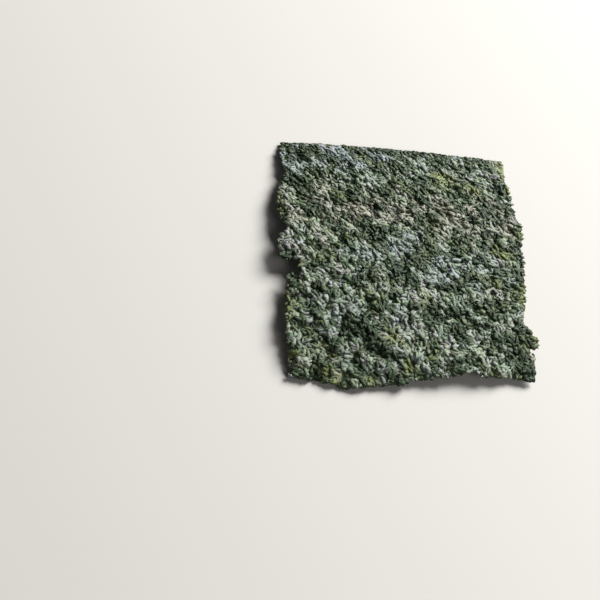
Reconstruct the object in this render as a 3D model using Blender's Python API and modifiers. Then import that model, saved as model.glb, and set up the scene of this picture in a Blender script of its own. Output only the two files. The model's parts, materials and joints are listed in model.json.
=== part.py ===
"""A nori sheet: a small rectangle of roasted laver that lies with its rough side up.

It is one thin, closed, gently arched solid. Units are metres and +Z is up. X runs across
the sheet and Y along it. The origin is under the middle of the sheet, on the surface
that the sheet lies on.
"""

import math

import bmesh
import bpy
from mathutils import Matrix, Vector, noise

MM = 0.001

# Driving dimensions: a full sheet is 190 x 210 mm, and this one is a quarter of it.
FULL_SHEET_WIDTH = 190 * MM
FULL_SHEET_LENGTH = 210 * MM
SHEET_WIDTH = FULL_SHEET_WIDTH / 2
SHEET_LENGTH = FULL_SHEET_LENGTH / 2
THINNEST = 0.3 * MM
THICKEST = 0.55 * MM
CELLS_ACROSS = 48
CELLS_ALONG = 53

# The lie of the sheet: roasting leaves it arched, with its corners down.
ARCH_ALONG = 4.2 * MM
ARCH_ACROSS = 1.4 * MM
ARCH_SHARPNESS = 2.3
# Shallow buckles: (X, Y, half width, height), in millimetres.
BUCKLES = (
    (21, -52, 12, 2.0),
    (-24, -50, 12, -0.8),
    (43, -30, 10, 0.9),
    (-40, 2, 13, 0.9),
    (8, 14, 16, -0.7),
    (-16, -20, 13, 0.6),
    (24, -24, 9, -0.7),
    (30, 40, 14, -0.6),
)

# The rough side: laver shreds that dried in one main direction.
GRAIN_ANGLE = math.radians(-40)
GRAIN_STRETCH = 1.8
CRUMPLE_STRETCH = 1.5
CRUMPLE_LENGTH = 8 * MM
CRUMPLE_HEIGHT = 1.15 * MM
CRUMPLE_OCTAVES = 3
CRUMPLE_FALL = 0.2
CLUMP_LENGTH = 6 * MM
# The cut edge is pressed flatter by the knife: by how much, and how far in.
FLAT_AT_CUT = 0.7
FLAT_REACH = 9 * MM

# How far each edge stands out (+) or in (-) of the true rectangle, in millimetres.
# A swell is (place along the edge, half width, how far out).
EDGE_SWELLS = {
    "left": (
        (51.5, 2, -0.6),
        (37, 5.3, -1.7),
        (21, 10.7, 2.4),
        (8.6, 3.1, -1.4),
        (-14.3, 1.5, -1.7),
        (-30.4, 5.4, 0.9),
    ),
    "right": (
        (40, 3.8, -1.4),
        (13.3, 7.3, 2.2),
        (0.2, 3.5, 1.1),
        (-27, 7.8, -3.1),
        (-35.4, 4.8, 3.2),
        (-39.3, 1.3, -3.6),
    ),
    "bottom": (
        (-46.5, 4.5, -0.5),
        (-25, 8.3, 3.5),
        (-12.5, 5.5, 1.7),
        (6.2, 7.1, -0.8),
        (22, 9.3, -3.3),
        (26.7, 1.2, 1.1),
        (39.4, 9.6, -2.4),
    ),
    "top": ((-47.5, 30, 1.1), (47.5, 30, -1.9)),
}
# A torn place is (from, to, how far out).
EDGE_TEARS = {
    "left": ((-3.7, 6.4, 2.5), (-11.5, -3.7, -5.0)),
    "bottom": ((-7.5, -2.6, 1.5),),
}
TEAR_SOFTNESS = 0.5
# Fine unevenness: a cut edge is clean, and a grown one is ragged.
EDGE_RAGGEDNESS = {"left": 0.45, "right": 0.45, "bottom": 0.6, "top": 0.12}
RAGGED_LENGTH = 4.0
EDGE_REACH = 12.0

LAVER_COLOUR = (0.016, 0.024, 0.011, 1.0)
LAVER_ROUGHNESS = 0.45


def clear_scene():
    for thing in list(bpy.data.objects):
        bpy.data.objects.remove(thing, do_unlink=True)


def smooth_rise(t):
    """0 below 0, 1 above 1, and a smooth rise between."""
    t = min(1.0, max(0.0, t))
    return t * t * (3 - 2 * t)


def swell(distance, half_width):
    """A smooth hump of height 1, nearly gone two half widths away."""
    return math.exp(-((distance / half_width) ** 2))


def torn(along, start, end):
    """1 between start and end, and 0 outside, with soft steps."""
    after_start = smooth_rise((along - start) / TEAR_SOFTNESS + 0.5)
    before_end = smooth_rise((end - along) / TEAR_SOFTNESS + 0.5)
    return after_start * before_end


def edge_offset(edge, along):
    """How far an edge stands out of the rectangle at this place; both in millimetres."""
    out = sum(height * swell(along - at, width) for at, width, height in EDGE_SWELLS[edge])
    out += sum(height * torn(along, *span) for *span, height in EDGE_TEARS.get(edge, ()))
    side = list(EDGE_SWELLS).index(edge)
    place = Vector((along / RAGGED_LENGTH, 10.0 * side, 0.0))
    return out + EDGE_RAGGEDNESS[edge] * noise.fractal(place, 0.8, 2.0, 3)


def pulled_to_edges(x, y):
    """Moves a point of the true rectangle to where the uneven outline takes it."""
    half_width = SHEET_WIDTH / 2 / MM
    half_length = SHEET_LENGTH / 2 / MM
    x, y = x / MM, y / MM
    near = {
        "left": (half_width + x, y),
        "right": (half_width - x, y),
        "bottom": (half_length + y, x),
        "top": (half_length - y, x),
    }
    pull = {
        edge: edge_offset(edge, along) * max(0.0, 1.0 - inside / EDGE_REACH)
        for edge, (inside, along) in near.items()
    }
    return (x + pull["right"] - pull["left"]) * MM, (y + pull["top"] - pull["bottom"]) * MM


def lie(x, y):
    """Height of the middle of the sheet's thickness, without its rough surface."""
    along = 1 - abs(2 * y / SHEET_LENGTH) ** ARCH_SHARPNESS
    across = 1 - abs(2 * x / SHEET_WIDTH) ** ARCH_SHARPNESS
    height = ARCH_ALONG * along + ARCH_ACROSS * across
    for at_x, at_y, half_width, rise in BUCKLES:
        away = math.hypot(x / MM - at_x, y / MM - at_y)
        height += rise * MM * swell(away, half_width)
    return height


def along_grain(x, y, length, stretch):
    """The point in a frame turned to the grain, in steps of the given length."""
    cos, sin = math.cos(GRAIN_ANGLE), math.sin(GRAIN_ANGLE)
    with_grain = (x * cos + y * sin) / stretch
    across_grain = y * cos - x * sin
    return Vector((with_grain / length, across_grain / length, 0.0))


def crumple(x, y):
    """Height of the sheet's crags over its smooth lie."""
    place = along_grain(x, y, CRUMPLE_LENGTH, CRUMPLE_STRETCH)
    pressed = FLAT_AT_CUT * (1 - smooth_rise((SHEET_LENGTH / 2 - y) / FLAT_REACH))
    height = noise.fractal(place, CRUMPLE_FALL, 2.0, CRUMPLE_OCTAVES)
    return CRUMPLE_HEIGHT * (1 - pressed) * height


def layers(x, y):
    """0 where the laver is one shred thick and 1 where it lies in many layers."""
    place = along_grain(x, y, CLUMP_LENGTH, GRAIN_STRETCH) + Vector((0.0, 0.0, 5.0))
    return smooth_rise(0.5 + 0.8 * noise.noise(place))


def make_laver():
    laver = bpy.data.materials.new("roasted_laver")
    laver.use_nodes = True
    shader = laver.node_tree.nodes["Principled BSDF"]
    shader.inputs["Base Color"].default_value = LAVER_COLOUR
    shader.inputs["Roughness"].default_value = LAVER_ROUGHNESS
    shader.inputs["Metallic"].default_value = 0.0
    return laver


def make_leaf():
    """The sheet's middle surface as a mesh of triangles."""
    leaf = bmesh.new()
    bmesh.ops.create_grid(leaf, x_segments=CELLS_ACROSS, y_segments=CELLS_ALONG, size=0.5)
    for point in leaf.verts:
        x, y = pulled_to_edges(point.co.x * SHEET_WIDTH, point.co.y * SHEET_LENGTH)
        point.co = (x, y, lie(x, y) + crumple(x, y))
    bmesh.ops.triangulate(leaf, faces=leaf.faces, quad_method="ALTERNATE")
    mesh = bpy.data.meshes.new("nori_sheet")
    leaf.to_mesh(mesh)
    leaf.free()
    return mesh


def give_thickness(sheet):
    """Makes the surface a closed solid, thicker where more shreds overlap."""
    group = sheet.vertex_groups.new(name="layers")
    for point in sheet.data.vertices:
        group.add([point.index], layers(point.co.x, point.co.y), "REPLACE")
    solid = sheet.modifiers.new("thickness", "SOLIDIFY")
    solid.thickness = THICKEST
    solid.offset = 0.0
    solid.vertex_group = group.name
    solid.thickness_vertex_group = THINNEST / THICKEST


def lay_on_origin(sheet):
    """Moves the mesh so that its lowest point is at Z = 0 and its box is centred in X and Y."""
    graph = bpy.context.evaluated_depsgraph_get()
    corners = [Vector(corner) for corner in sheet.evaluated_get(graph).bound_box]
    low = Vector(min(corner[axis] for corner in corners) for axis in range(3))
    high = Vector(max(corner[axis] for corner in corners) for axis in range(3))
    middle = (low + high) / 2
    sheet.data.transform(Matrix.Translation((-middle.x, -middle.y, -low.z)))


def main():
    clear_scene()
    parts = bpy.data.collections.new("nori_sheet")
    bpy.context.scene.collection.children.link(parts)
    sheet = bpy.data.objects.new("nori_sheet", make_leaf())
    parts.objects.link(sheet)
    sheet.data.materials.append(make_laver())
    give_thickness(sheet)
    lay_on_origin(sheet)
    sheet.data.shade_smooth()


main()
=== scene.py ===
"""The looks of a nori sheet: roasted laver, rough side up, on a plain pale floor.

Units are metres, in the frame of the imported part: +Z up, X across the sheet, Y along it.
"""

import json
import math
import random

import bpy
import numpy as np
from mathutils import Matrix, Vector, noise

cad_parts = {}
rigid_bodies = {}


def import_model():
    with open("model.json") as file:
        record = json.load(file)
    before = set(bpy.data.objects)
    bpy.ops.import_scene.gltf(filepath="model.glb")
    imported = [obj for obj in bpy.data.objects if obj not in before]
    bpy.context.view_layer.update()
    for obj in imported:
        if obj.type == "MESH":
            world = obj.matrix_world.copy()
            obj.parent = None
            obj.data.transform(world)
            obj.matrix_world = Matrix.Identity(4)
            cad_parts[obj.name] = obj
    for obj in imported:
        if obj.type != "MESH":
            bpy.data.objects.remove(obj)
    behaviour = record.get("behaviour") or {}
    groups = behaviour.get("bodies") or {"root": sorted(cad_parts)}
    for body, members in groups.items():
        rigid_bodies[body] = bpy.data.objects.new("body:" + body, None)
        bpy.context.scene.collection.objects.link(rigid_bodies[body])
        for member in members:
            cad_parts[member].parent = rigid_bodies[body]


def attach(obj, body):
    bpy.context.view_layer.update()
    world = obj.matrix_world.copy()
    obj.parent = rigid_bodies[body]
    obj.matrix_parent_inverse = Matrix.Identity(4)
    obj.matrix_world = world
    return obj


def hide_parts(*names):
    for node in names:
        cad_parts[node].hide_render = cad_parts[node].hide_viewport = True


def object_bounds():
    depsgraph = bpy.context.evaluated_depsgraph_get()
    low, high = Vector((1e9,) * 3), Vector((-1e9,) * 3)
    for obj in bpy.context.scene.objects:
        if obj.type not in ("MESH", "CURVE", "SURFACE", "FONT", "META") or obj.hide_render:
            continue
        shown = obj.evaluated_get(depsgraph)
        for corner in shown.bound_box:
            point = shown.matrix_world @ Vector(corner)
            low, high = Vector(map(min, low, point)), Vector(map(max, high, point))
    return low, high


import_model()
cad_low, cad_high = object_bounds()

MM = 0.001

# ---------------------------------------------------------------- sizes of the sheet

SHEET_WIDTH = 95 * MM
SHEET_LENGTH = 105 * MM
THINNEST = 0.3 * MM
THICKEST = 0.55 * MM
CELLS_ACROSS = 208
CELLS_ALONG = 230

# The lie of the sheet, as in the solid.
ARCH_ALONG = 4.2 * MM
ARCH_ACROSS = 1.4 * MM
ARCH_SHARPNESS = 2.3
# Shallow buckles: (X, Y, half width, height), in millimetres.
BUCKLES = (
    (21, -52, 12, 2.0),
    (-24, -50, 12, -0.8),
    (43, -30, 10, 0.9),
    (-40, 2, 13, 0.9),
    (8, 14, 16, -0.7),
    (-16, -20, 13, 0.6),
    (24, -24, 9, -0.7),
    (30, 40, 14, -0.6),
)

# The rough side: laver shreds that dried in one main direction.
GRAIN_ANGLE = math.radians(-40)
GRAIN_STRETCH = 1.8
CRUMPLE_STRETCH = 1.5
CRUMPLE_LENGTH = 8 * MM
CRUMPLE_HEIGHT = 1.15 * MM
CRUMPLE_OCTAVES = 3
CRUMPLE_FALL = 0.2
OCTAVE_STEP = 2.0
# The cut edge is pressed flatter by the knife: by how much, and how far in.
FLAT_AT_CUT = 0.7
FLAT_REACH = 9 * MM
# The clumps in which the laver lies in more layers.
CLUMP_LENGTH = 6 * MM
CLUMP_CONTRAST = 0.8

# Fine crags: small domed flakes, each leaning its own way and at its own height.
CRAG_LENGTH = 1.5 * MM
CRAG_HEIGHT = 0.30 * MM
# The warp is random, and the seed makes it the same each time.
CRAG_WARP = 0.4
CRAG_WARP_SCALE = 0.7
CRAG_SEED = 7
CRAG_DOME = 0.6
CRAG_LEAN = 0.9
CRAG_STEP = 0.5
CRAG_SPREAD = 7.0
# How much of the crags shows on the underside.
UNDERSIDE_RELIEF = 0.6

# Slow changes of tone and hue over the sheet.
SHADE_LENGTH = 6 * MM
DRIFT_LENGTH = 7 * MM
DRIFT_STRENGTH = 0.7
GREYING_LENGTH = 8 * MM
SLOW_FALL = 0.4
SLOW_OCTAVES = 3
# Each pattern lies in its own layer of the noise, so that none repeats another.
CLUMP_LAYER = 5.0
SHADE_LAYER = 9.0
DRIFT_LAYER = 13.0
GREYING_LAYER = 17.0

# How far each edge stands out (+) or in (-) of the true rectangle, in millimetres.
# A swell is (place along the edge, half width, how far out).
EDGE_SWELLS = {
    "left": (
        (51.5, 2, -0.6),
        (37, 5.3, -1.7),
        (21, 10.7, 2.4),
        (8.6, 3.1, -1.4),
        (-14.3, 1.5, -1.7),
        (-30.4, 5.4, 0.9),
    ),
    "right": (
        (40, 3.8, -1.4),
        (13.3, 7.3, 2.2),
        (0.2, 3.5, 1.1),
        (-27, 7.8, -3.1),
        (-35.4, 4.8, 3.2),
        (-39.3, 1.3, -3.6),
    ),
    "bottom": (
        (-46.5, 4.5, -0.5),
        (-25, 8.3, 3.5),
        (-12.5, 5.5, 1.7),
        (6.2, 7.1, -0.8),
        (22, 9.3, -3.3),
        (26.7, 1.2, 1.1),
        (39.4, 9.6, -2.4),
    ),
    "top": ((-47.5, 30, 1.1), (47.5, 30, -1.9)),
}
# A torn place is (from, to, how far out).
EDGE_TEARS = {
    "left": ((-3.7, 6.4, 2.5), (-11.5, -3.7, -5.0)),
    "bottom": ((-7.5, -2.6, 1.5),),
}
TEAR_SOFTNESS = 0.5
# Fine unevenness: a cut edge is clean, and a grown one is ragged. Each edge has its own
# stretch of the noise, this far from the next one's.
EDGE_RAGGEDNESS = {"left": 0.45, "right": 0.45, "bottom": 0.6, "top": 0.12}
RAGGED_LENGTH = 4.0
RAGGED_FALL = 0.8
RAGGED_OCTAVES = 5
EDGES_APART = 10.0
EDGE_REACH = 12.0

# The room for a shred's length, in millimetres: at the cut edge, at the grown ones and at
# most, and how much is gained with each millimetre away from an edge.
ROOM_AT_CUT = 0.6
ROOM_AT_EDGE = 2.2
MOST_ROOM = 5.0
ROOM_GAIN = 2.2
# How much coarser the laver is along the front edge than along the back one.
COARSER_IN_FRONT = 0.65
# What lies deeper than this height over the leaf's middle is pressed to this share of its
# depth below it, so that it stays inside the leaf.
PRESSED_FROM = 0.24 * MM
PRESSED_SHARE = 0.04
# How far a shred bends with the sheet, whose slope is measured over this step.
DRAPE_SHARE = 0.5
SLOPE_STEP = 0.2 * MM

# ---------------------------------------------------------------- places of other tones

# Each place is (X, Y, half width, half length, strength), in millimetres. A strength below
# 0 takes that tone away.
WARM_PLACES = (
    (-26, 19, 30, 11, 0.85),
    (22, 18, 30, 9, 0.85),
)
# Bluer places. Along the back edge the blue is painted reflection, a cool sheen; the others are
# bluer patches.
BLUE_AND_SHEEN_PLACES = (
    (-30, 45, 24, 6, 1.1),
    (12, 51, 28, 4, 0.7),
    (0, 3, 18, 8, 0.75),
    (18, -7, 10, 9, 0.75),
    (-26, -29, 12, 8, 0.7),
    (-19, -2, 9, 7, 0.3),
    (-12, 42, 11, 7, 0.5),
    (1, -43, 3, 8, 0.6),
)
# Greyer places. Along the back edge the grey goes with the blue as painted reflection; a strength
# below 0 makes the laver greener.
GREY_AND_SHEEN_PLACES = (
    (-27, 51, 18, 5, 2.5),
    (12, 54, 30, 3.5, 2.5),
    (46, 35, 4, 14, 1.5),
    (46, -14, 4, 9, -1.5),
)
THIN_PLACES = (
    (19, 37, 6, 4.5, 0.7),
    (31, 33, 5, 4, 0.6),
    (46, 45, 3, 6, 0.9),
    (-17, -18, 2.5, 2.5, 0.8),
    (-46, -24, 3, 8, 0.6),
    (-40, -42, 6, 5, 0.5),
    (-9, -35, 5, 4, 0.65),
    (0, -47, 4, 4, 0.8),
    (24, -42, 5, 3, 0.5),
    (40, 2, 4, 3, 0.7),
    (47, -14, 3, 8, 0.3),
    (-20, -53, 5, 2, 0.6),
)
# Paler places: paler patches that are partly painted sheen, standing for the gloss of the light
# from behind.
PALE_AND_SHEEN_PLACES = (
    (20, -3, 4, 4, 0.5),
    (-14, -5, 4, 3, 0.3),
    (15, -41, 7, 3, 0.4),
    (-5, -36, 3, 9, 0.4),
    (-26, -38, 3, 4, 0.3),
    (36, -37, 3, 5, 0.3),
    (37, 41, 6, 3, 0.4),
    (29, 47, 3, 5, 0.3),
    (-35, 42, 4, 2, 0.3),
    (-37, 0, 6, 30, 0.12),
    (38, -14, 3, 8, 0.3),
    (-34, 33, 3, 8, 0.25),
    (-27, 51, 13, 4, 0.25),
    (-15, 31, 3, 3, 0.3),
)
# Darker places. Those along the back edge, down the right edge and at the front right corner are
# painted shade, darkening the sheet where the lights leave it too bright; the others are darker
# patches.
DARK_AND_SHADED_PLACES = (
    (-15, 7, 5, 4, 0.5),
    (15, -33, 6, 3, 0.5),
    (43, -36, 4, 5, 0.5),
    (-15, -38, 3, 6, 0.4),
    (11, 8, 2.5, 8, 0.4),
    (31, 35, 3, 4, 0.4),
    (-36, 47, 4, 3, 0.3),
    (43, 47, 3, 4, 0.3),
    (24, -22, 4, 3, 0.3),
    (-37, -37, 5, 3, 0.3),
    (52, 8, 9, 50, 0.45),
    (17, 56, 38, 7, 0.3),
    (0, 54, 14, 8, 0.8),
    (47, -14, 4, 9, 0.5),
    (-41, 34, 4, 12, 0.45),
    (-27, -54, 14, 3, 0.3),
    (44, -50, 8, 8, 0.3),
)
# The grown and torn edges are thin too: how strongly, and how far in, in millimetres.
THIN_AT_EDGE = 0.3
THIN_EDGE = 0.8
# How much less thin the laver is where it is greyer.
THICK_IF_GREY = 0.35

# ---------------------------------------------------------------- form of the sheet


def smooth_rise(t):
    """0 below 0, 1 above 1, and a smooth rise between."""
    t = min(1.0, max(0.0, t))
    return t * t * (3 - 2 * t)


def swell(distance, half_width):
    """A smooth hump of height 1, nearly gone two half widths away."""
    return math.exp(-((distance / half_width) ** 2))


def torn(along, start, end):
    """1 between start and end, and 0 outside, with soft steps."""
    after_start = smooth_rise((along - start) / TEAR_SOFTNESS + 0.5)
    before_end = smooth_rise((end - along) / TEAR_SOFTNESS + 0.5)
    return after_start * before_end


def edge_offset(edge, along):
    """How far an edge stands out of the rectangle at this place; both in millimetres."""
    out = sum(height * swell(along - at, width) for at, width, height in EDGE_SWELLS[edge])
    out += sum(height * torn(along, *span) for *span, height in EDGE_TEARS.get(edge, ()))
    side = list(EDGE_SWELLS).index(edge)
    place = Vector((along / RAGGED_LENGTH, EDGES_APART * side, 0.0))
    ragged = noise.fractal(place, RAGGED_FALL, OCTAVE_STEP, RAGGED_OCTAVES)
    return out + EDGE_RAGGEDNESS[edge] * ragged


def pulled_to_edges(across, along):
    """The grid of points, in millimetres, that the uneven outline makes of a true one."""
    half_width, half_length = SHEET_WIDTH / 2 / MM, SHEET_LENGTH / 2 / MM
    left, right = (
        np.array([edge_offset(edge, y) for y in along])[:, None] for edge in ("left", "right")
    )
    bottom, top = (
        np.array([edge_offset(edge, x) for x in across])[None, :] for edge in ("bottom", "top")
    )
    x, y = np.meshgrid(across, along)
    x_pull = right * np.maximum(0, 1 - (half_width - x) / EDGE_REACH)
    x_pull = x_pull - left * np.maximum(0, 1 - (half_width + x) / EDGE_REACH)
    y_pull = top * np.maximum(0, 1 - (half_length - y) / EDGE_REACH)
    y_pull = y_pull - bottom * np.maximum(0, 1 - (half_length + y) / EDGE_REACH)
    return x + x_pull, y + y_pull


def lie(x, y):
    """Height of the middle of the sheet's thickness, without its rough surface."""
    along = 1 - abs(2 * y / SHEET_LENGTH) ** ARCH_SHARPNESS
    across = 1 - abs(2 * x / SHEET_WIDTH) ** ARCH_SHARPNESS
    height = ARCH_ALONG * along + ARCH_ACROSS * across
    for at_x, at_y, half_width, rise in BUCKLES:
        away = math.hypot(x / MM - at_x, y / MM - at_y)
        height += rise * MM * swell(away, half_width)
    return height


def along_grain(x, y, length, stretch, layer=0.0):
    """The point in a frame turned to the grain, in steps of the given length."""
    cos, sin = math.cos(GRAIN_ANGLE), math.sin(GRAIN_ANGLE)
    with_grain = (x * cos + y * sin) / stretch
    across_grain = y * cos - x * sin
    return Vector((with_grain / length, across_grain / length, layer))


def crumple(x, y):
    """Height of the sheet's crags over its smooth lie."""
    place = along_grain(x, y, CRUMPLE_LENGTH, CRUMPLE_STRETCH)
    pressed = FLAT_AT_CUT * (1 - smooth_rise((SHEET_LENGTH / 2 - y) / FLAT_REACH))
    height = noise.fractal(place, CRUMPLE_FALL, OCTAVE_STEP, CRUMPLE_OCTAVES)
    return CRUMPLE_HEIGHT * (1 - pressed) * height


def form(x, y):
    """Height of the middle of the sheet's thickness."""
    return lie(x, y) + crumple(x, y)


def layers(x, y):
    """0 where the laver is one shred thick and 1 where it lies in many layers."""
    place = along_grain(x, y, CLUMP_LENGTH, GRAIN_STRETCH, CLUMP_LAYER)
    return smooth_rise(0.5 + CLUMP_CONTRAST * noise.noise(place))


def slow_change(x, y, length, layer):
    """Noise that changes slowly over the sheet, from about -0.5 to 0.5."""
    place = along_grain(x, y, length, CRUMPLE_STRETCH, layer)
    return noise.fractal(place, SLOW_FALL, OCTAVE_STEP, SLOW_OCTAVES)


def shade(x, y):
    """How pale the laver is here: it mottles as its thickness does."""
    return slow_change(x, y, SHADE_LENGTH, SHADE_LAYER)


def drift(x, y):
    """Slow change of hue over the sheet, warmer above 0 and bluer below it."""
    return DRIFT_STRENGTH * slow_change(x, y, DRIFT_LENGTH, DRIFT_LAYER)


def greying(x, y):
    """Slow change of how grey the green is over the sheet, greyer above 0."""
    return slow_change(x, y, GREYING_LENGTH, GREYING_LAYER)


def crags(x, y):
    """Fine relief of the rough side: small domed flakes, each leaning its own way."""
    place = along_grain(x, y, CRAG_LENGTH, GRAIN_STRETCH)
    place += CRAG_WARP * noise.noise_vector(place * CRAG_WARP_SCALE)
    nearest, middles = noise.voronoi(place)
    lean = noise.cell_vector(middles[0] * CRAG_SPREAD)
    slope = (place - middles[0]).dot(lean)
    return CRAG_HEIGHT * (CRAG_DOME - nearest[0] ** 2 + CRAG_LEAN * slope + CRAG_STEP * lean.z)


def at_points(function, points):
    """The value of a function of X and Y at each point."""
    return np.array([function(*point) for point in points])


def spots(points, places):
    """How strongly each point lies in the given places, by their strengths."""
    x, y = np.array(points).T / MM
    total = np.zeros(len(x))
    for at_x, at_y, wide, long, strength in places:
        total += strength * np.exp(-(((x - at_x) / wide) ** 2) - ((y - at_y) / long) ** 2)
    return total


# ---------------------------------------------------------------- the leaf


def grid_faces(rows, columns, start, turned):
    """Quads of a grid of points, counted from start; turned makes them face down."""
    corner = start + np.arange(rows - 1)[:, None] * columns + np.arange(columns - 1)[None, :]
    quad = np.stack([corner, corner + 1, corner + columns + 1, corner + columns], -1)
    quad = quad.reshape(-1, 4)
    return quad[:, ::-1] if turned else quad


def rim_faces(rows, columns):
    """Quads that join the rims of two grids, the first above the second."""
    index = np.arange(rows * columns).reshape(rows, columns)
    rim = np.concatenate([index[0, :-1], index[:-1, -1], index[-1, :0:-1], index[:0:-1, 0]])
    following = np.roll(rim, -1)
    below = rows * columns
    return np.stack([rim, rim + below, following + below, following], -1)


def leaf_values(points, depth, below_cut, inside):
    """What the finishes and the strewing read, at each point of one side of the leaf."""
    along = np.array(points)[:, 1] / SHEET_LENGTH
    # Of the places, the paler ones are partly painted sheen, the darker ones partly painted shade,
    # and the bluer and greyer ones along the back edge painted reflection.
    greyed_and_sheen = spots(points, GREY_AND_SHEEN_PLACES)
    at_edge = THIN_AT_EDGE * np.exp(-inside / THIN_EDGE)
    paler = spots(points, PALE_AND_SHEEN_PLACES) - spots(points, DARK_AND_SHADED_PLACES)
    warmer = spots(points, WARM_PLACES) - spots(points, BLUE_AND_SHEEN_PLACES)
    room = np.minimum(
        ROOM_AT_CUT + ROOM_GAIN * below_cut,
        ROOM_AT_EDGE + ROOM_GAIN * inside,
    )
    return {
        "layers": depth,
        "below_cut": below_cut,
        "shade": at_points(shade, points) + paler,
        "cast": warmer + at_points(drift, points),
        "greying": at_points(greying, points) + greyed_and_sheen,
        "thin": spots(points, THIN_PLACES) + at_edge - THICK_IF_GREY * greyed_and_sheen,
        "coarse": 1 + COARSER_IN_FRONT * (0.5 - along),
        "room": np.minimum(room, MOST_ROOM) * MM,
    }


def store(mesh, name, above, below):
    """Keeps a value for each point of the leaf's upper and lower side."""
    attribute = mesh.attributes.new(name, "FLOAT", "POINT")
    attribute.data.foreach_set("value", np.concatenate([above, below]).astype(np.float32))


def make_leaf():
    """The sheet itself: a thin closed leaf, craggy above and smoother below."""
    across = np.linspace(-0.5, 0.5, CELLS_ACROSS + 1) * SHEET_WIDTH / MM
    along = np.linspace(-0.5, 0.5, CELLS_ALONG + 1) * SHEET_LENGTH / MM
    x, y = (grid * MM for grid in pulled_to_edges(across, along))
    points = list(zip(x.ravel(), y.ravel()))
    middle = at_points(form, points)
    depth = at_points(layers, points)
    half_thickness = (THINNEST + (THICKEST - THINNEST) * depth) / 2
    relief = at_points(crags, points)
    top = np.column_stack([points, middle + half_thickness + relief])
    bottom = np.column_stack([points, middle - half_thickness + relief * UNDERSIDE_RELIEF])
    rows, columns = x.shape
    faces = np.concatenate([
        grid_faces(rows, columns, 0, turned=False),
        grid_faces(rows, columns, rows * columns, turned=True),
        rim_faces(rows, columns),
    ])
    mesh = bpy.data.meshes.new("nori_leaf")
    mesh.from_pydata(np.concatenate([top, bottom]).tolist(), [], faces.tolist())
    below_cut = np.broadcast_to((along[-1] - along)[:, None], x.shape).ravel()
    inside = np.minimum(
        np.minimum(across[-1] - across, across - across[0])[None, :],
        (along - along[0])[:, None],
    ).ravel()
    for name, value in leaf_values(points, depth, below_cut, inside).items():
        store(mesh, name, value, value)
    store(mesh, "rough_side", np.ones(len(points)), np.zeros(len(points)))
    mesh.shade_smooth()
    leaf = bpy.data.objects.new("nori_leaf", mesh)
    bpy.context.scene.collection.objects.link(leaf)
    return leaf


def settle(leaf):
    """Moves the leaf's mesh so that its box sits in the solid's, and returns the move."""
    points = np.array([point.co for point in leaf.data.vertices])
    low, high = points.min(0), points.max(0)
    middle = (low + high) / 2
    cad_middle = (cad_low + cad_high) / 2
    shift = Vector((cad_middle.x - middle[0], cad_middle.y - middle[1], cad_low.z - low[2]))
    leaf.data.transform(Matrix.Translation(shift))
    return shift


# ---------------------------------------------------------------- node trees


class Wire:
    """An output of a node, on which node maths is written as a plain expression."""

    def __init__(self, tree, socket):
        self.tree = tree
        self.socket = socket

    def output(self, name):
        """Another output of the same node."""
        return Wire(self.tree, self.socket.node.outputs[name])

    def __add__(self, other):
        return self.tree.maths("ADD", self, other)

    def __radd__(self, other):
        return self.tree.maths("ADD", other, self)

    def __sub__(self, other):
        return self.tree.maths("SUBTRACT", self, other)

    def __rsub__(self, other):
        return self.tree.maths("SUBTRACT", other, self)

    def __mul__(self, other):
        return self.tree.maths("MULTIPLY", self, other)

    def __rmul__(self, other):
        return self.tree.maths("MULTIPLY", other, self)


class Tree:
    """A node tree that is being wired, of a material or of geometry."""

    def __init__(self, tree):
        self.tree = tree

    def node(self, kind, settings=None, inputs=None, output=0):
        """Adds a node: its settings first, then the value or the wire of each input."""
        made = self.tree.nodes.new(kind)
        for name, value in (settings or {}).items():
            setattr(made, name, value)
        for name, value in (inputs or {}).items():
            if isinstance(value, Wire):
                self.tree.links.new(value.socket, made.inputs[name])
            else:
                made.inputs[name].default_value = value
        return Wire(self, made.outputs[output]) if made.outputs else None

    def maths(self, operation, first, second):
        inputs = {0: first, 1: second}
        return self.node("ShaderNodeMath", {"operation": operation}, inputs)

    def smooth(self, value, low, high):
        """0 where value is under low and 1 where it is over high, with a smooth rise."""
        settings = {"interpolation_type": "SMOOTHSTEP"}
        inputs = {"Value": value, "From Min": low, "From Max": high}
        return self.node("ShaderNodeMapRange", settings, inputs)

    def mix(self, factor, first, second, blend="MIX"):
        """A blend of two colours."""
        settings = {"data_type": "RGBA", "blend_type": blend}
        return self.node("ShaderNodeMix", settings, {0: factor, 6: first, 7: second}, output=2)


# ---------------------------------------------------------------- finishes


def rgb(red, green, blue):
    return (red, green, blue, 1.0)


NEAR_BLACK = rgb(0.007, 0.017, 0.004)
DEEP_GREEN = rgb(0.022, 0.042, 0.013)
UNDERSIDE_GREEN = rgb(0.034, 0.058, 0.022)
LEAF_GREEN = rgb(0.104, 0.121, 0.087)
PALE_GREEN = rgb(0.216, 0.226, 0.206)
THIN_GREEN = rgb(0.138, 0.160, 0.050)
WARM_CAST = rgb(1.04, 1.0, 0.79)
# The blue cast is partly painted reflection: the cool sheen along the back edge.
BLUE_CAST = rgb(0.83, 1.0, 1.0)
GREENER_SHRED = rgb(0.74, 1.0, 0.62)
GREYER_SHRED = rgb(1.09, 1.0, 1.28)
LAVER_GLOSS = rgb(0.87, 1.0, 0.85)
LAVER_IOR = 1.52

# Patterns in the laver: (grains in a metre, detail).
PATCHES = (110.0, 3.0)
FLECKS = (700.0, 4.0)
FIBRES = (2600.0, 3.0)
FILMS_IN_A_METRE = 450.0

# From near black, a shred's colour changes with its tone: (from, to, colour).
SHRED_TONES = (
    (0.0, 0.45, DEEP_GREEN),
    (0.30, 0.80, LEAF_GREEN),
    (0.75, 1.05, PALE_GREEN),
)
# The leaf's colour changes from near black to the underside's green between these tones.
LEAF_TONE = (0.25, 0.85)
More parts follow.
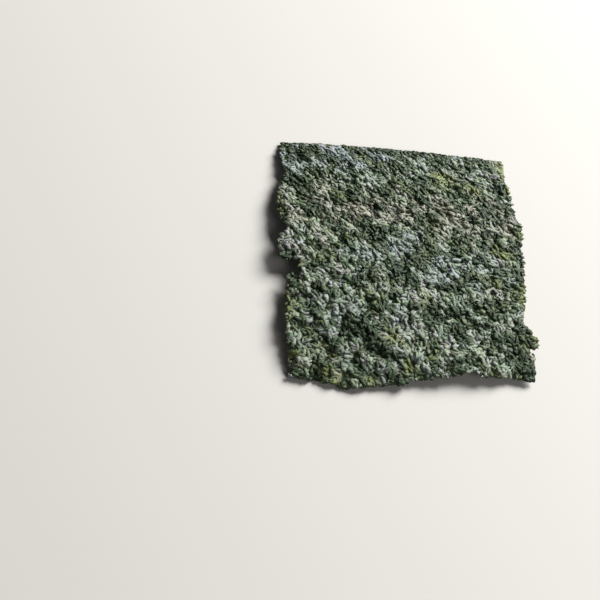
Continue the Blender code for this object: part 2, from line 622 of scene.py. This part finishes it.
# How much of its tone a shred has from flecks and fibres, and the leaf from films, flecks
# and its mottle.
FLECKS_ON_SHRED = 0.5
FIBRES_ON_SHRED = 0.3
FILMS_ON_LEAF = 0.5
FLECKS_ON_LEAF = 0.5
MOTTLE_ON_LEAF = 0.6
# Thin laver is yellower, and more so in patches, on some shreds and in flecks of the leaf.
YELLOW_PATCHES = 1.4
YELLOW_SHREDS = 0.9
YELLOW_FLECKS = 0.6
# It is unseen at the first of these values, and full at the second.
YELLOW_SHOWN = (0.8, 1.7)
# The darkest laver takes no warm or blue cast, and the blue one is a little the weaker.
CAST_SHOWN = (0.1, 0.6)
BLUE_SHARE = 0.9

# The laver is rougher in flecks and where it is coarse. Flecks and fibres also stand out a
# little, each by this share of the depth.
SHRED_ROUGHNESS = 0.40
LEAF_ROUGHNESS = 0.34
ROUGHER_IN_FLECKS = 0.22
ROUGHER_IF_COARSE = 0.2
BUMP_STRENGTH = 0.8
BUMP_DEPTH = 0.6 * MM
BUMP_SHARE = 0.4

FLOOR_COLOUR = rgb(0.50, 0.49, 0.47)
FLOOR_ROUGHNESS = 0.9


class LaverTree(Tree):
    """The tree of a finish of laver, with its patterns drawn out along the grain."""

    def __init__(self, tree):
        super().__init__(tree)
        self.along_grain = self.node(
            "ShaderNodeMapping",
            {"vector_type": "POINT"},
            {
                "Vector": self.node("ShaderNodeTexCoord", output="Object"),
                "Rotation": (0.0, 0.0, -GRAIN_ANGLE),
                "Scale": (1 / GRAIN_STRETCH, 1.0, 1.0),
            },
        )
        self.flecks = self.grain(*FLECKS)
        self.fibres = self.grain(*FIBRES)
        self.thin = self.stored("thin") + self.grain(*PATCHES) * YELLOW_PATCHES

    def grain(self, scale, detail):
        """A cloudy pattern, with so many grains in a metre."""
        inputs = {"Vector": self.along_grain, "Scale": scale, "Detail": detail}
        return self.node("ShaderNodeTexNoise", {}, inputs, "Fac")

    def stored(self, attribute):
        """A value that the mesh keeps for each of its points."""
        return self.node("ShaderNodeAttribute", {"attribute_name": attribute}, output="Fac")

    def shred_colour(self):
        """The tone of a shred, its colour, and how yellow it is."""
        flecked = (self.flecks - 0.5) * FLECKS_ON_SHRED
        tone = self.stored("tone") + flecked + (self.fibres - 0.5) * FIBRES_ON_SHRED
        colour = NEAR_BLACK
        for low, high, paler in SHRED_TONES:
            colour = self.mix(self.smooth(tone, low, high), colour, paler)
        hue = self.stored("hue")
        tint = self.mix(hue, GREENER_SHRED, GREYER_SHRED)
        colour = self.mix(1.0, colour, tint, "MULTIPLY")
        return tone, colour, self.thin + (hue - 0.5) * YELLOW_SHREDS

    def leaf_colour(self):
        """The tone of the bare leaf, its colour, and how yellow it is."""
        inputs = {"Vector": self.along_grain, "Scale": FILMS_IN_A_METRE}
        films = self.node("ShaderNodeTexVoronoi", {}, inputs, "Color")
        tone = films * FILMS_ON_LEAF + self.flecks * FLECKS_ON_LEAF
        # The leaf's shade holds painted sheen and painted shade in its paler and darker places.
        tone = tone + self.stored("shade") * MOTTLE_ON_LEAF
        colour = self.mix(self.smooth(tone, *LEAF_TONE), NEAR_BLACK, UNDERSIDE_GREEN)
        return tone, colour, self.thin + (self.flecks - 0.5) * YELLOW_FLECKS

    def tinted(self, tone, colour, yellow):
        """The colour with the yellow of thin laver and the cast of its place."""
        colour = self.mix(self.smooth(yellow, *YELLOW_SHOWN), colour, THIN_GREEN)
        cast = self.stored("cast") * self.smooth(tone, *CAST_SHOWN)
        colour = self.mix(cast, colour, WARM_CAST, "COLOR")
        # The blue cast is partly painted reflection: the cool sheen along the back edge.
        return self.mix(cast * -BLUE_SHARE, colour, BLUE_CAST, "COLOR")

    def relief(self):
        """The finest unevenness of the surface."""
        inputs = {
            "Strength": BUMP_STRENGTH,
            "Distance": BUMP_DEPTH,
            "Height": self.flecks * BUMP_SHARE + self.fibres * BUMP_SHARE,
        }
        return self.node("ShaderNodeBump", {}, inputs)


def make_laver(name, on_shreds):
    """Roasted laver: near-black green with paler and yellower shreds, and a dull gloss."""
    laver = bpy.data.materials.new(name)
    laver.use_nodes = True
    laver.node_tree.nodes.clear()
    tree = LaverTree(laver.node_tree)
    colouring = tree.shred_colour() if on_shreds else tree.leaf_colour()
    roughness = SHRED_ROUGHNESS if on_shreds else LEAF_ROUGHNESS
    coarser = tree.stored("coarse") - 1.0
    shader = tree.node(
        "ShaderNodeBsdfPrincipled",
        {},
        {
            "Base Color": tree.tinted(*colouring),
            "Roughness": roughness + tree.flecks * ROUGHER_IN_FLECKS + coarser * ROUGHER_IF_COARSE,
            "IOR": LAVER_IOR,
            "Specular Tint": LAVER_GLOSS,
            "Normal": tree.relief(),
        },
    )
    tree.node("ShaderNodeOutputMaterial", {}, {"Surface": shader})
    return laver


def make_floor_finish():
    finish = bpy.data.materials.new("pale_floor")
    finish.use_nodes = True
    shader = finish.node_tree.nodes["Principled BSDF"]
    shader.inputs["Base Color"].default_value = FLOOR_COLOUR
    shader.inputs["Roughness"].default_value = FLOOR_ROUGHNESS
    return finish


# ---------------------------------------------------------------- shreds on the rough side

# A shape of shred is 1 long, with a row of points at each of these places along it. The
# other measures are drawn within these limits, and heights are over the shred's own level.
SHRED_ROWS = (-0.27, 0.0, 0.27)
SHRED_POINTS = 3 * len(SHRED_ROWS) + 3
ROW_SHIFT = (-0.08, 0.08)
TIP_REACH = (0.42, 0.58)
TIP_SIDEWAYS = (-0.15, 0.15)
TIP_HEIGHT = (-0.25, 0.0)
RIM_REACH = (0.5, 1.15)
RIM_HEIGHT = (-0.24, 0.0)
CREST_SIDEWAYS = (-0.16, 0.16)
CREST_HEIGHT = (0.08, 0.36)
KEEL = (0.0, 0.0, -0.2)
# How many shapes each kind of shred has.
SHRED_SHAPES = 10

# The kinds of shred: the width of a shape 1 long, and how far its level stands out of the
# sheet.
SHRED_KINDS = {
    "laver_shreds": (0.55, 0.15),
    "laver_flakes": (0.75, 0.0),
    "laver_strands": (0.45, 0.05),
}
# What the strewing of every kind is given. Density is the most shreds on a square metre,
# Bare Share is the share of it where the laver is thinnest, Mottle is how far a shred's
# tone follows the leaf's, and Cut Margin is in millimetres.
STREWING = {
    "Density": 1.0e6,
    "Grain Angle": GRAIN_ANGLE,
    "Tilt": 0.36,
    "Bare Share": 0.35,
    "Mottle": 2.2,
    "Cut Margin": 0.3,
}
# What the strewing of each kind is given of its own.
STREWING_OF_KIND = {
    "laver_shreds": {
        "Seed": 3,
        "Spacing": 1.35 * MM,
        "Angle Spread": 0.5,
        "Shortest": 2.4 * MM,
        "Longest": 4.8 * MM,
    },
    "laver_flakes": {
        "Seed": 11,
        "Spacing": 1.12 * MM,
        "Angle Spread": 1.2,
        "Shortest": 2.1 * MM,
        "Longest": 4.0 * MM,
    },
    "laver_strands": {
        "Seed": 23,
        "Spacing": 1.12 * MM,
        "Angle Spread": 0.8,
        "Shortest": 1.9 * MM,
        "Longest": 3.9 * MM,
    },
}
# Each thing that is drawn for a shred has its own seed, this far above the strewing's.
SEED_STEPS = {"heading": 1.0, "tilt": 2.0, "length": 3.0, "shape": 4.0, "tone": 5.0, "hue": 6.0}
# The sockets of a random draw: lowest, highest and drawn value.
DRAWN_SOCKETS = {"FLOAT_VECTOR": (0, 1, 0), "FLOAT": (2, 3, 1), "INT": (4, 5, 2)}

# Shreds lie on the rough side alone, and none on the rim below it.
WHOLLY_ROUGH = 0.99
# A shred's width and height grow with its length, by these shares of it.
LEAST_WIDTH = 1.5 * MM
WIDTH_SHARE = 0.6
LEAST_HEIGHT = 0.5 * MM
HEIGHT_SHARE = 0.3
# The tone and the hue that are drawn for a shred, and how far its hue follows the leaf's.
TONES = (0.26, 0.76)
HUES = (0.1, 0.9)
GREYING_SHARE = 0.35


def make_shred(number, width, stand, draw):
    """One shred of laver, 1 long: a crinkled ridge with an uneven rim, and a keel below."""

    def tip(side):
        reach = side * draw.uniform(*TIP_REACH)
        sideways = width * draw.uniform(*TIP_SIDEWAYS)
        return (reach, sideways, stand + draw.uniform(*TIP_HEIGHT))

    left, crest, right = [], [], []
    for row in SHRED_ROWS:
        middle = width * draw.uniform(*CREST_SIDEWAYS)
        for line, side in ((left, 1), (right, -1)):
            reach = side * width * 0.5 * draw.uniform(*RIM_REACH)
            height = stand + draw.uniform(*RIM_HEIGHT)
            line.append((row + draw.uniform(*ROW_SHIFT), middle + reach, height))
        place = row + draw.uniform(*ROW_SHIFT)
        crest.append((place, middle, stand + draw.uniform(*CREST_HEIGHT)))
    count = len(SHRED_ROWS)
    rim = [tip(-1)] + right + [tip(1)] + left[::-1]
    points = rim + crest + [KEEL]
    first_tip, last_tip = 0, count + 1
    on_crest = [len(rim) + row for row in range(count)]
    on_right = [1 + row for row in range(count)]
    on_left = [len(rim) - 1 - row for row in range(count)]
    faces = [
        (first_tip, on_crest[0], on_left[0]),
        (first_tip, on_right[0], on_crest[0]),
        (on_crest[-1], last_tip, on_left[-1]),
        (on_right[-1], last_tip, on_crest[-1]),
    ]
    for row in range(count - 1):
        following = row + 1
        faces.append((on_crest[row], on_crest[following], on_left[following], on_left[row]))
        faces.append((on_right[row], on_right[following], on_crest[following], on_crest[row]))
    for corner in range(len(rim)):
        faces.append(((corner + 1) % len(rim), corner, len(points) - 1))
    mesh = bpy.data.meshes.new(f"shred_shape_{number}")
    mesh.from_pydata(points, [], faces)
    mesh.shade_smooth()
    return bpy.data.objects.new(f"shred_shape_{number}", mesh)


class StrewnTree(Tree):
    """The tree that strews shreds over the rough side, with its sizes as named inputs."""

    def __init__(self, values):
        group = bpy.data.node_groups.new("strewn_shreds", "GeometryNodeTree")
        super().__init__(group)
        sockets = group.interface
        sockets.new_socket("Sheet", in_out="INPUT", socket_type="NodeSocketGeometry")
        self.named = {}
        for name, value in values.items():
            kind = "NodeSocketInt" if isinstance(value, int) else "NodeSocketFloat"
            socket = sockets.new_socket(name, in_out="INPUT", socket_type=kind)
            self.named[name] = socket.identifier
        sockets.new_socket("Shreds", in_out="OUTPUT", socket_type="NodeSocketGeometry")
        self.sheet = self.node("NodeGroupInput", output="Sheet")

    def given(self, name):
        """The value of a named input."""
        return self.sheet.output(name)

    def stored(self, attribute):
        """A value that the leaf keeps for each of its points."""
        inputs = {"Name": attribute}
        return self.node("GeometryNodeInputNamedAttribute", {"data_type": "FLOAT"}, inputs)

    def above(self, value, limit):
        """Whether a value is over the limit."""
        settings = {"data_type": "FLOAT", "operation": "GREATER_THAN"}
        return self.node("FunctionNodeCompare", settings, {0: value, 1: limit})

    def drawn(self, thing, kind, low, high):
        """A random value for each shred, from low to high."""
        lowest, highest, output = DRAWN_SOCKETS[kind]
        seed = self.given("Seed") + SEED_STEPS[thing]
        inputs = {lowest: low, highest: high, "Seed": seed}
        return self.node("FunctionNodeRandomValue", {"data_type": kind}, inputs, output)

    def points(self):
        """Where the shreds lie: closer together where the leaf has more layers."""
        rough = self.above(self.stored("rough_side"), WHOLLY_ROUGH)
        clear = self.above(self.stored("below_cut"), self.given("Cut Margin"))
        both = {0: rough, 1: clear}
        return self.node(
            "GeometryNodeDistributePointsOnFaces",
            {"distribute_method": "POISSON"},
            {
                "Mesh": self.sheet,
                "Selection": self.node("FunctionNodeBooleanMath", {"operation": "AND"}, both),
                "Distance Min": self.given("Spacing"),
                "Density Max": self.given("Density"),
                "Density Factor": self.given("Bare Share") + self.stored("layers"),
                "Seed": self.given("Seed"),
            },
            output="Points",
        )

    def turned(self, upward):
        """How each shred is turned: near the grain, upright on the leaf and tilted a little."""
        coarse = self.stored("coarse")
        spread = self.given("Angle Spread") * coarse * coarse
        aside = self.drawn("heading", "FLOAT", -1.0, 1.0) * spread
        turn = self.node("ShaderNodeCombineXYZ", {}, {"Z": self.given("Grain Angle") + aside})
        standing = self.node(
            "FunctionNodeAlignRotationToVector",
            {"axis": "Z"},
            {"Rotation": self.node("FunctionNodeEulerToRotation", {}, {0: turn}), "Vector": upward},
        )
        either_way = self.drawn("tilt", "FLOAT_VECTOR", (-1.0, -1.0, 0.0), (1.0, 1.0, 0.0))
        inputs = {0: either_way, "Scale": self.given("Tilt")}
        tilt = self.node("ShaderNodeVectorMath", {"operation": "SCALE"}, inputs)
        return self.node(
            "FunctionNodeRotateRotation",
            {"rotation_space": "LOCAL"},
            {0: standing, 1: self.node("FunctionNodeEulerToRotation", {}, {0: tilt})},
        )

    def size(self):
        """The length, width and height of each shred; most are short."""
        share = self.drawn("length", "FLOAT", 0.0, 1.0)
        longer = self.given("Longest") - self.given("Shortest")
        length = (self.given("Shortest") + share * share * longer) * self.stored("coarse")
        length = self.maths("MINIMUM", length, self.stored("room"))
        width = length * WIDTH_SHARE + LEAST_WIDTH
        height = length * HEIGHT_SHARE + LEAST_HEIGHT
        return self.node("ShaderNodeCombineXYZ", {}, {"X": length, "Y": width, "Z": height})

    def shreds(self, shapes):
        """A shred of any of the shapes at each point, with a tone and a hue of its own."""
        points = self.points()
        whole = {"Collection": shapes, "Separate Children": True, "Reset Children": True}
        strewn = self.node(
            "GeometryNodeInstanceOnPoints",
            {},
            {
                "Points": points,
                "Instance": self.node(
                    "GeometryNodeCollectionInfo", {"transform_space": "ORIGINAL"}, whole
                ),
                "Pick Instance": True,
                "Instance Index": self.drawn("shape", "INT", 0, SHRED_SHAPES - 1),
                "Rotation": self.turned(points.output("Normal")),
                "Scale": self.size(),
            },
        )
        # The leaf's shade holds painted sheen and painted shade in its paler and darker places.
        mottle = self.stored("shade") * self.given("Mottle")
        looks = {
            "tone": self.drawn("tone", "FLOAT", *TONES) + mottle,
            "hue": self.drawn("hue", "FLOAT", *HUES) + self.stored("greying") * GREYING_SHARE,
        }
        for name, value in looks.items():
            strewn = self.node(
                "GeometryNodeStoreNamedAttribute",
                {"data_type": "FLOAT", "domain": "INSTANCE"},
                {"Geometry": strewn, "Name": name, "Value": value},
            )
        return strewn


def strewing_tree(shapes, finish, values):
    """The tree of one kind of shred, made real and finished."""
    tree = StrewnTree(values)
    shreds = {"Geometry": tree.shreds(shapes)}
    realized = tree.node("GeometryNodeRealizeInstances", {}, shreds)
    covered = {"Geometry": realized, "Material": finish}
    finished = tree.node("GeometryNodeSetMaterial", {}, covered)
    tree.node("NodeGroupOutput", {}, {"Shreds": finished})
    return tree


def drape(mesh, shift):
    """Bends each shred toward the sheet's form, and keeps its lower parts inside the leaf."""
    points = np.array([point.co - shift for point in mesh.vertices])
    for start in range(0, len(points), SHRED_POINTS):
        shred = points[start : start + SHRED_POINTS]
        middle_x, middle_y, _ = shred.mean(0)
        level = form(middle_x, middle_y)
        slope_x = (form(middle_x + SLOPE_STEP, middle_y) - level) / SLOPE_STEP
        slope_y = (form(middle_x, middle_y + SLOPE_STEP) - level) / SLOPE_STEP
        for point in shred:
            x, y, z = point
            here = form(x, y)
            bend = here - level - slope_x * (x - middle_x) - slope_y * (y - middle_y)
            z += DRAPE_SHARE * bend
            limit = here + UNDERSIDE_RELIEF * crags(x, y) + PRESSED_FROM
            point[2] = max(z, limit - (limit - z) * PRESSED_SHARE)
    mesh.vertices.foreach_set("co", (points + np.array(shift)).ravel())
    mesh.update()


def strew(name, leaf, shapes, finish, shift):
    """A piece of many shreds, strewn over the leaf and made a plain mesh."""
    values = STREWING | STREWING_OF_KIND[name]
    tree = strewing_tree(shapes, finish, values)
    carrier = bpy.data.objects.new(name, leaf.data)
    bpy.context.scene.collection.objects.link(carrier)
    modifier = carrier.modifiers.new("strewn", "NODES")
    modifier.node_group = tree.tree
    for key, value in values.items():
        modifier[tree.named[key]] = value
    graph = bpy.context.evaluated_depsgraph_get()
    mesh = bpy.data.meshes.new_from_object(carrier.evaluated_get(graph))
    carrier.modifiers.clear()
    carrier.data = mesh
    mesh.name = name
    drape(mesh, shift)
    return carrier


# ---------------------------------------------------------------- stage, lights and camera

CAMERA_AZIMUTH = math.radians(-19.90)
CAMERA_ELEVATION = math.radians(60.21)
CAMERA_ROLL = math.radians(19.86)
CAMERA_LENS = 70.0
CAMERA_AIM = Vector((-41.6, -17.7, 0.0)) * MM
CAMERA_DISTANCE = 447.3 * MM
CAMERA_NEAREST = 10 * MM

# Soft lights: name, azimuth and elevation in degrees, distance and width in metres, power
# in watts, and colour.
SOFTBOXES = (
    ("back_softbox", 130, 37, 1.6, 0.8, 70.0, (1.0, 0.99, 0.97)),
    ("front_softbox", 35, 45, 0.6, 0.3, 0.7, (1.0, 0.98, 0.95)),
)
ROOM_COLOUR = rgb(1.0, 1.0, 1.0)
ROOM_LIGHT = 0.06
FLOOR_WIDTH = 6.0


def toward(azimuth, elevation):
    """The direction from the sheet to something round it; azimuth 0 is at -Y."""
    return Vector((
        math.sin(azimuth) * math.cos(elevation),
        -math.cos(azimuth) * math.cos(elevation),
        math.sin(elevation),
    ))


def make_camera():
    data = bpy.data.cameras.new("camera")
    data.lens = CAMERA_LENS
    data.clip_start = CAMERA_NEAREST
    camera = bpy.data.objects.new("camera", data)
    bpy.context.scene.collection.objects.link(camera)
    back = toward(CAMERA_AZIMUTH, CAMERA_ELEVATION)
    camera.location = CAMERA_AIM + back * CAMERA_DISTANCE
    level = (-back).to_track_quat("-Z", "Y").to_matrix()
    camera.rotation_euler = (level @ Matrix.Rotation(CAMERA_ROLL, 3, "Z")).to_euler()
    bpy.context.scene.camera = camera


def make_floor():
    bpy.ops.mesh.primitive_plane_add(size=FLOOR_WIDTH)
    floor = bpy.context.object
    floor.name = "floor"
    floor.data.materials.append(make_floor_finish())


def add_softbox(name, azimuth, elevation, distance, size, power, colour):
    """A square soft light that faces the sheet."""
    data = bpy.data.lights.new(name, "AREA")
    data.size = size
    data.energy = power
    data.color = colour
    light = bpy.data.objects.new(name, data)
    bpy.context.scene.collection.objects.link(light)
    direction = toward(math.radians(azimuth), math.radians(elevation))
    light.location = direction * distance
    light.rotation_euler = direction.to_track_quat("Z", "Y").to_euler()


def make_lights():
    for softbox in SOFTBOXES:
        add_softbox(*softbox)
    world = bpy.data.worlds.new("studio")
    world.use_nodes = True
    background = world.node_tree.nodes["Background"]
    background.inputs["Color"].default_value = ROOM_COLOUR
    background.inputs["Strength"].default_value = ROOM_LIGHT
    bpy.context.scene.world = world


# ---------------------------------------------------------------- making it all


def main():
    noise.seed_set(CRAG_SEED)
    leaf = make_leaf()
    shift = settle(leaf)
    leaf.data.materials.append(make_laver("laver_leaf", on_shreds=False))

    pieces = [leaf]
    finish = make_laver("laver_shred", on_shreds=True)
    for name, (width, stand) in SHRED_KINDS.items():
        draw = random.Random(name)
        shapes = bpy.data.collections.new(name + "_shapes")
        for number in range(SHRED_SHAPES):
            shapes.objects.link(make_shred(number, width, stand, draw))
        pieces.append(strew(name, leaf, shapes, finish, shift))
        for shape in list(shapes.objects):
            bpy.data.objects.remove(shape)
        bpy.data.collections.remove(shapes)

    for piece in pieces:
        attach(piece, "root")
        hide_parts("nori_sheet")

    make_floor()
    make_lights()
    make_camera()
    bpy.context.scene.view_settings.view_transform = "Standard"


main()
